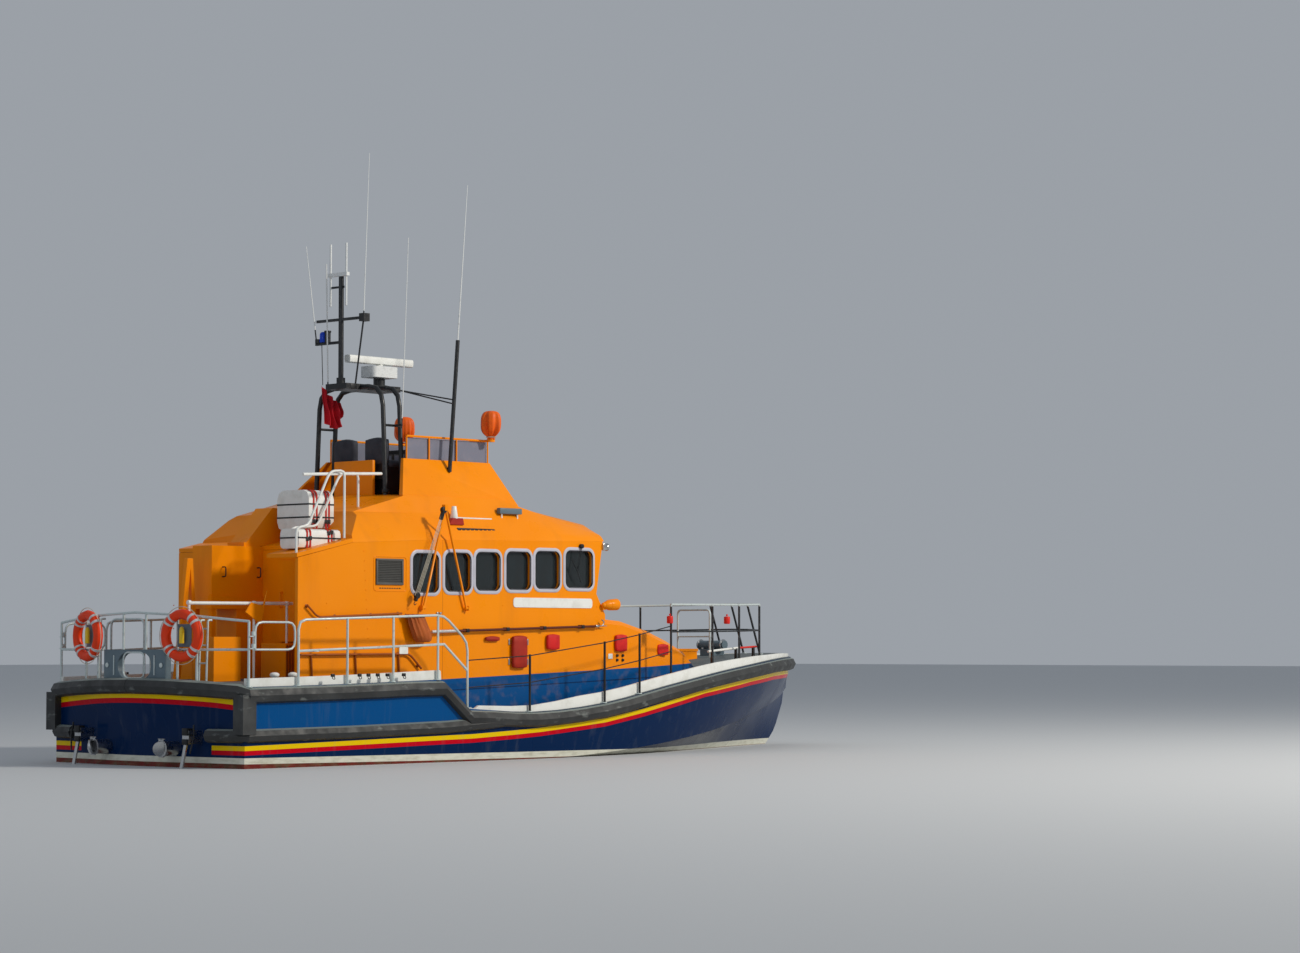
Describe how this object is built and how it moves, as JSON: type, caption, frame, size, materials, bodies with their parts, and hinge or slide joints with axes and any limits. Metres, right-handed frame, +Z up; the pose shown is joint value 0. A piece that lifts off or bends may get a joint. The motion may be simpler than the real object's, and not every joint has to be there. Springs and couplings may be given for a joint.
{
  "type": "rescue lifeboat",
  "caption": "Offshore rescue lifeboat with deckhouse, flying bridge, radar gantry, rails, twin propellers and rudders, afloat at its waterline.",
  "frame": {"origin": "on the centreline at the waterline, 7.0 m ahead of the transom's corners", "axes": "+X forward to the bow, +Y to port, +Z up"},
  "size_m": [14.65, 4.8588, 10.4202],
  "materials": {
    "hull_blue": "gloss paint",
    "orange_grp": "gloss gelcoat",
    "fender_rubber": "matt",
    "white_grp": "satin",
    "rail_grey": "satin",
    "black_paint": "satin",
    "window_glass": "clear, tinted",
    "screen_glass": "clear, hazed",
    "buoy_orange": "satin",
    "bronze": "polished",
    "steel": "brushed",
    "panel_grey": "satin",
    "flag_red": "woven",
    "canvas": "woven"
  },
  "bodies": {
    "boat": {"alcove_roof": "orange_grp", "boarding_step": "orange_grp", "bridge_console": "black_paint", "cabin_fittings": "black_paint", "coachroof": "orange_grp", "deck_locker": "orange_grp", "deckhouse": "orange_grp", "engine_casing": "orange_grp", "exhaust_port": "steel", "exhaust_starboard": "steel", "fender_port": "fender_rubber", "fender_starboard": "fender_rubber", "flag": "flag_red", "flying_bridge": "orange_grp", "front_glass": "window_glass", "gantry": "black_paint", "guard_rail_port": "black_paint", "guard_rail_starboard": "black_paint", "hatch_coaming": "orange_grp", "hull": "hull_blue", "lifebuoy_port": "buoy_orange", "lifebuoy_starboard": "buoy_orange", "liferaft_high": "white_grp", "liferaft_low": "white_grp", "mast": "black_paint", "pulpit": "rail_grey", "roof_handrail_inner": "white_grp", "roof_handrail_outer": "white_grp", "rope_bag": "canvas", "shaft_port": "steel", "shaft_starboard": "steel", "side_glass_port": "window_glass", "side_glass_starboard": "window_glass", "side_rail_port": "rail_grey", "side_rail_starboard": "rail_grey", "stern_fairlead": "panel_grey", "stern_rail": "rail_grey", "tall_aerial": "black_paint", "toe_rail_port": "white_grp", "toe_rail_starboard": "white_grp", "towing_post": "orange_grp", "trim_tab_port": "steel", "trim_tab_starboard": "steel", "wheelhouse_roof": "orange_grp", "windlass": "panel_grey", "windscreen_frame": "orange_grp", "windscreen_panes": "screen_glass"},
    "aft_door": {"aft_door": "orange_grp"},
    "foredeck_hatch": {"foredeck_hatch": "orange_grp"},
    "rail_gate_starboard": {"rail_gate_starboard": "rail_grey"},
    "rail_gate_port": {"rail_gate_port": "rail_grey"},
    "searchlight_starboard": {"searchlight_starboard": "canvas"},
    "searchlight_port": {"searchlight_port": "canvas"},
    "radar_scanner": {"radar_scanner": "white_grp"},
    "propeller_starboard": {"propeller_starboard": "bronze"},
    "propeller_port": {"propeller_port": "bronze"},
    "rudder_starboard": {"rudder_starboard": "steel"},
    "rudder_port": {"rudder_port": "steel"},
    "derrick": {"derrick": "orange_grp"}
  },
  "joints": [
    {"name": "aft_door_hinge", "type": "hinge", "parent": "boat", "child": "aft_door", "pos_m": [-5.088, -1.29, 2.3], "axis": [0, 0, 1], "range_deg": [0, 95]},
    {"name": "foredeck_hatch_hinge", "type": "hinge", "parent": "boat", "child": "foredeck_hatch", "pos_m": [4.495, 0, 1.622], "axis": [0, 1, 0], "range_deg": [0, 100]},
    {"name": "rail_gate_starboard_hinge", "type": "hinge", "parent": "boat", "child": "rail_gate_starboard", "pos_m": [-6.88, -2.115, 1.8], "axis": [0, 0, 1], "range_deg": [0, 90]},
    {"name": "rail_gate_port_hinge", "type": "hinge", "parent": "boat", "child": "rail_gate_port", "pos_m": [-6.88, 2.115, 1.8], "axis": [0, 0, -1], "range_deg": [0, 90]},
    {"name": "searchlight_starboard_pan", "type": "hinge", "parent": "boat", "child": "searchlight_starboard", "pos_m": [-1.11, -0.97, 4.87], "axis": [0, 0, 1], "range_deg": [-90, 90]},
    {"name": "searchlight_port_pan", "type": "hinge", "parent": "boat", "child": "searchlight_port", "pos_m": [-1.11, 0.97, 4.87], "axis": [0, 0, 1], "range_deg": [-90, 90]},
    {"name": "radar_turn", "type": "hinge", "parent": "boat", "child": "radar_scanner", "pos_m": [-2.56, 0, 5.95], "axis": [0, 0, 1], "continuous": true},
    {"name": "propeller_starboard_spin", "type": "hinge", "parent": "boat", "child": "propeller_starboard", "pos_m": [-6.13, -1, -0.85], "axis": [0.9903, 0, 0.1392], "continuous": true},
    {"name": "propeller_port_spin", "type": "hinge", "parent": "boat", "child": "propeller_port", "pos_m": [-6.13, 1, -0.85], "axis": [0.9903, 0, 0.1392], "continuous": true},
    {"name": "rudder_starboard_turn", "type": "hinge", "parent": "boat", "child": "rudder_starboard", "pos_m": [-6.64, -1, -0.6], "axis": [0, 0, 1], "range_deg": [-35, 35]},
    {"name": "rudder_port_turn", "type": "hinge", "parent": "boat", "child": "rudder_port", "pos_m": [-6.64, 1, -0.6], "axis": [0, 0, 1], "range_deg": [-35, 35]},
    {"name": "derrick_lean", "type": "hinge", "parent": "boat", "child": "derrick", "pos_m": [-2.84, -1.748, 2.25], "axis": [1, 0, 0], "range_deg": [0, 70]}
  ],
  "couplings": [
    {"joint": "rudder_port_turn", "follows": "rudder_starboard_turn", "ratio": 1}
  ]
}
